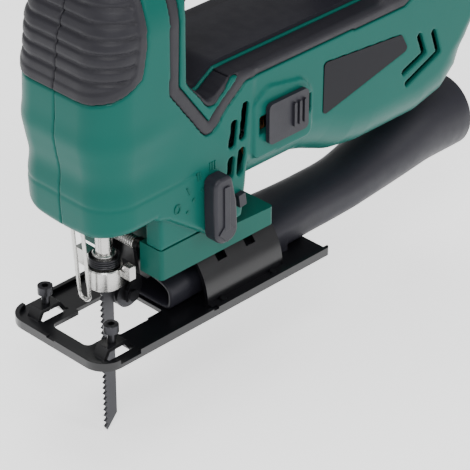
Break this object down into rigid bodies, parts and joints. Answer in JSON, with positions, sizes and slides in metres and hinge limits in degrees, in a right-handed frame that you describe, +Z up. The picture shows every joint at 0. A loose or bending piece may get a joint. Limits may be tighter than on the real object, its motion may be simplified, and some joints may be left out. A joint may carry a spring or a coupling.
{
  "type": "handheld jigsaw",
  "caption": "Corded hand jigsaw with D-handle, orbit lever, guide roller, keyless blade clamp, tilting pressed sole and dust tube; working gear, rotor and plunger inside.",
  "frame": {"origin": "centre of the sole plate's underside", "axes": "front of the saw (blade side) faces -Y, width runs along X with the orbit lever on +X, +Z is up"},
  "size_m": [0.071, 0.2585, 0.254],
  "materials": {
    "shell": "fine satin moulding texture, blue-green",
    "soft_grip": "matte overmoulded elastomer, near black",
    "dark_plastic": "fine matte grain, charcoal",
    "label": "blank satin plate",
    "foot_cast": "satin paint on casting, blue-green",
    "black_sheet": "semi-gloss black on pressed steel",
    "cast_metal": "bead-blasted die casting",
    "bright_steel": "ground and lightly brushed",
    "steel_screw": "turned, zinc plated",
    "blade_steel": "satin with ground teeth",
    "bronze": "sintered, oiled",
    "copper": "enamelled winding wire",
    "lamination": "stacked electrical sheet",
    "carbon": "pressed carbon"
  },
  "bodies": {
    "housing": {"housing_right": "shell", "housing_left": "shell", "front_grip_right": "soft_grip", "front_grip_left": "soft_grip", "side_grip_right": "soft_grip", "side_grip_left": "soft_grip", "label_right": "label", "label_left": "label", "handle_liner": "dark_plastic", "housing_screws": "steel_screw", "foot_block": "foot_cast", "bevel_screws": "steel_screw", "wire_guard": "bright_steel", "gear_case": "cast_metal", "upper_guide": "cast_metal", "lower_bush": "bronze", "upper_bush": "bronze", "gear_axle": "bright_steel", "front_bearing": "bright_steel", "rear_bearing": "bright_steel", "bearing_plate": "dark_plastic", "stator_core": "lamination", "stator_coils": "copper", "brush_holders": "bronze", "carbon_brushes": "carbon", "fork_pin": "bright_steel", "fork_spring": "bright_steel", "switch_module": "dark_plastic", "cord_gland": "soft_grip"},
    "rotor": {"armature_shaft": "bright_steel", "armature_core": "lamination", "armature_coils": "copper", "commutator": "copper", "cooling_fan": "dark_plastic"},
    "gear": {"gear_wheel": "bright_steel", "crank_pin": "bright_steel", "counterweight": "bright_steel"},
    "plunger": {"plunger_rod": "bright_steel", "yoke": "bright_steel", "clamp_body": "bright_steel", "clamp_spring": "bright_steel", "saw_blade": "blade_steel"},
    "collar": {"clamp_collar": "bright_steel"},
    "fork": {"roller_fork": "bright_steel", "roller_pin": "bright_steel"},
    "roller": {"guide_roller": "bright_steel"},
    "orbit_selector": {"orbit_lever": "dark_plastic"},
    "blower_valve": {"blower_slide": "dark_plastic"},
    "trigger_key": {"trigger": "dark_plastic"},
    "lock_key": {"lock_button": "dark_plastic"},
    "dial": {"speed_dial": "dark_plastic"},
    "sole": {"sole_plate": "black_sheet", "tunnel_bracket": "black_sheet", "bracket_rivets": "steel_screw", "fence_screws": "steel_screw"},
    "extraction": {"dust_tube": "dark_plastic"}
  },
  "joints": [
    {"name": "rotor_spin", "type": "hinge", "parent": "housing", "child": "rotor", "pos_m": [0, 0.05, 0.083], "axis": [0, 1, 0], "continuous": true},
    {"name": "gear_spin", "type": "hinge", "parent": "housing", "child": "gear", "pos_m": [0, -0.0235, 0.11], "axis": [0, 1, 0], "continuous": true},
    {"name": "plunger_stroke", "type": "slide", "parent": "housing", "child": "plunger", "axis": [0, 0, 1], "range_m": [0, 0.018]},
    {"name": "collar_turn", "type": "hinge", "parent": "plunger", "child": "collar", "pos_m": [0, -0.04, 0.025], "axis": [0, 0, -1], "range_deg": [0, 20], "stiffness_Nm_per_rad": 0.08, "springref_deg": -11.46},
    {"name": "fork_swing", "type": "hinge", "parent": "housing", "child": "fork", "pos_m": [0, -0.027, 0.038], "axis": [1, 0, 0], "range_deg": [0, 4], "stiffness_Nm_per_rad": 0.3, "springref_deg": -2.86},
    {"name": "roller_spin", "type": "hinge", "parent": "fork", "child": "roller", "pos_m": [0, -0.0285, 0.0106], "axis": [1, 0, 0], "continuous": true},
    {"name": "orbit_turn", "type": "hinge", "parent": "housing", "child": "orbit_selector", "pos_m": [0.03, -0.0015, 0.0475], "axis": [1, 0, 0], "range_deg": [0, 54]},
    {"name": "blower_move", "type": "slide", "parent": "housing", "child": "blower_valve", "axis": [0, 1, 0], "range_m": [0, 0.008]},
    {"name": "trigger_press", "type": "slide", "parent": "housing", "child": "trigger_key", "axis": [0, 0, 1], "range_m": [0, 0.005], "stiffness_N_per_m": 400, "springref_m": -0.002},
    {"name": "lock_press", "type": "slide", "parent": "housing", "child": "lock_key", "axis": [1, 0, 0], "range_m": [0, 0.003], "stiffness_N_per_m": 300, "springref_m": -0.002},
    {"name": "dial_turn", "type": "hinge", "parent": "housing", "child": "dial", "pos_m": [0, -0.02, 0.186], "axis": [1, 0, 0], "range_deg": [-130, 130]},
    {"name": "sole_bevel", "type": "hinge", "parent": "housing", "child": "sole", "pos_m": [0, 0.02, 0.0045], "axis": [0, 1, 0], "range_deg": [-45, 45]},
    {"name": "tube_pull", "type": "slide", "parent": "sole", "child": "extraction", "axis": [0, 1, 0], "range_m": [0, 0.08]}
  ],
  "couplings": [
    {"joint": "gear_spin", "follows": "rotor_spin", "ratio": -0.22727}
  ]
}
